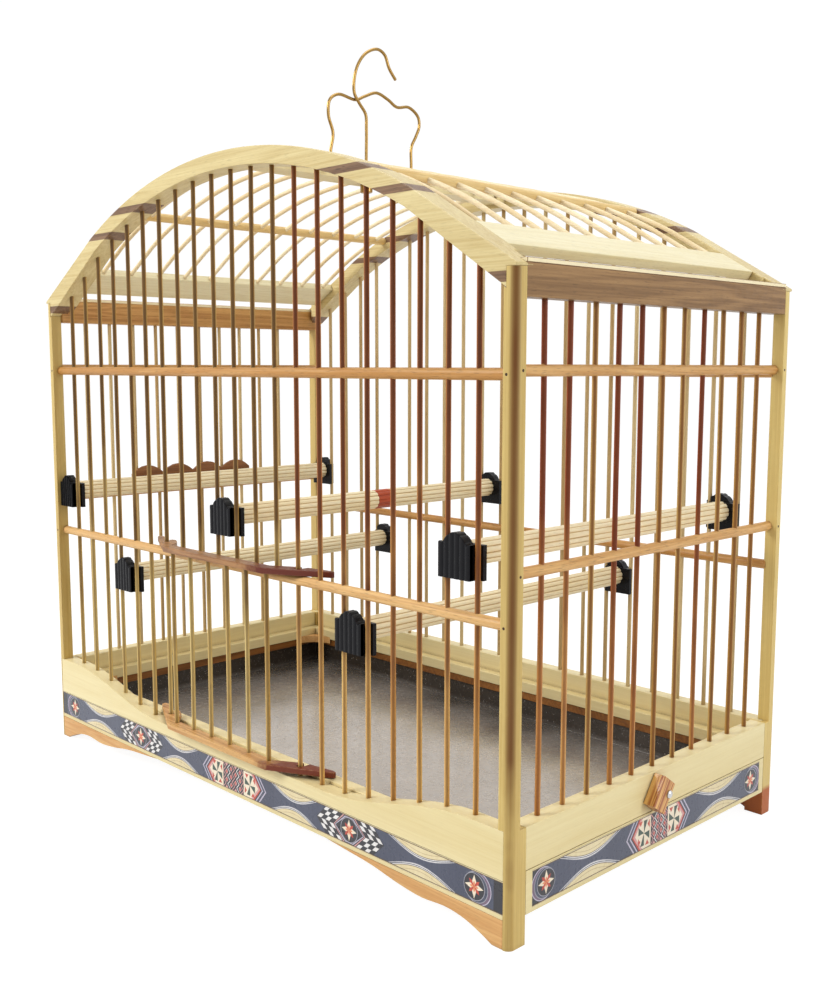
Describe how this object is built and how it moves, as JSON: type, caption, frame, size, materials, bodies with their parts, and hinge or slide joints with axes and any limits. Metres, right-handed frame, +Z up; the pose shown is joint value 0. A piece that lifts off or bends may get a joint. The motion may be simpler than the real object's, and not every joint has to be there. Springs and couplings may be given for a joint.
{
  "type": "bird cage",
  "caption": "Wooden canary breeding cage with an arched rod roof, marquetry base, bowed swing door, pull-out tray, perches and a wire hanger.",
  "frame": {"origin": "on the floor, under the middle of the bounding box", "axes": "+Z up; +X along the front to the right, the way the tray pulls out; -Y out of the front, where the door is"},
  "size_m": [0.4589, 0.26, 0.4815],
  "materials": {
    "pale_wood": "clear varnish, pale yellow with fine grain",
    "foot_wood": "clear varnish, light orange",
    "inlay_wood": "glossy marquetry of stars, checks and lens shapes on slate blue",
    "lining_wood": "orange-brown varnish",
    "walnut": "satin grey-brown with a pale top lath",
    "rod_wood": "amber varnish with darker edges",
    "door_wood": "satin brown",
    "perch_wood": "waxed and lightly fluted",
    "clip_plastic": "black",
    "hanger_brass": "dulled wire",
    "pan_metal": "galvanised sheet",
    "button_wood": "striped varnished wood",
    "nail_steel": "bright"
  },
  "bodies": {
    "cage": {"post_front_left": "pale_wood", "post_front_right": "pale_wood", "post_back_left": "pale_wood", "post_back_right": "pale_wood", "front_rail": "pale_wood", "back_rail": "pale_wood", "left_rail": "pale_wood", "right_rail": "pale_wood", "left_ledge": "pale_wood", "right_ledge": "pale_wood", "back_ledge": "pale_wood", "front_ledge": "pale_wood", "front_arch": "pale_wood", "back_arch": "pale_wood", "left_eave_board": "pale_wood", "right_eave_board": "pale_wood", "ridge_board": "pale_wood", "front_left_foot": "foot_wood", "front_right_foot": "foot_wood", "back_left_foot": "foot_wood", "back_right_foot": "foot_wood", "front_inlay": "inlay_wood", "back_inlay": "inlay_wood", "left_inlay": "inlay_wood", "lining": "lining_wood", "left_top_rail": "walnut", "right_top_rail": "walnut", "front_screen_left": "rod_wood", "front_screen_middle": "rod_wood", "front_screen_right": "rod_wood", "back_screen": "rod_wood", "left_screen": "rod_wood", "right_screen": "rod_wood", "roof_screen": "rod_wood", "catch_rod": "rod_wood", "scalloped_strip": "door_wood", "perch_1": "perch_wood", "perch_2": "perch_wood", "perch_3": "perch_wood", "perch_4": "perch_wood", "perch_5": "perch_wood", "perch_1_front_clip": "clip_plastic", "perch_1_back_clip": "clip_plastic", "perch_2_front_clip": "clip_plastic", "perch_2_back_clip": "clip_plastic", "perch_3_front_clip": "clip_plastic", "perch_3_back_clip": "clip_plastic", "perch_4_front_clip": "clip_plastic", "perch_4_back_clip": "clip_plastic", "perch_5_front_clip": "clip_plastic", "perch_5_back_clip": "clip_plastic", "hanger_frame": "hanger_brass", "hanger_hook": "hanger_brass", "turn_button_nail": "nail_steel"},
    "door": {"door_top_strip": "door_wood", "door_bottom_strip": "door_wood"},
    "tray": {"tray_pan": "pan_metal", "tray_front": "pale_wood", "tray_inlay": "inlay_wood"},
    "button": {"turn_button": "button_wood"}
  },
  "joints": [
    {"name": "door_hinge", "type": "hinge", "parent": "cage", "child": "door", "pos_m": [-0.0835, -0.116, 0.1], "axis": [0, 0, -1], "range_deg": [0, 110], "deforming": ["catch_rod"]},
    {"name": "tray_slide", "type": "slide", "parent": "cage", "child": "tray", "axis": [1, 0, 0], "range_m": [0, 0.2]},
    {"name": "button_turn", "type": "hinge", "parent": "cage", "child": "button", "pos_m": [0.2245, 0.00119, 0.04764], "axis": [1, 0, 0], "continuous": true}
  ]
}
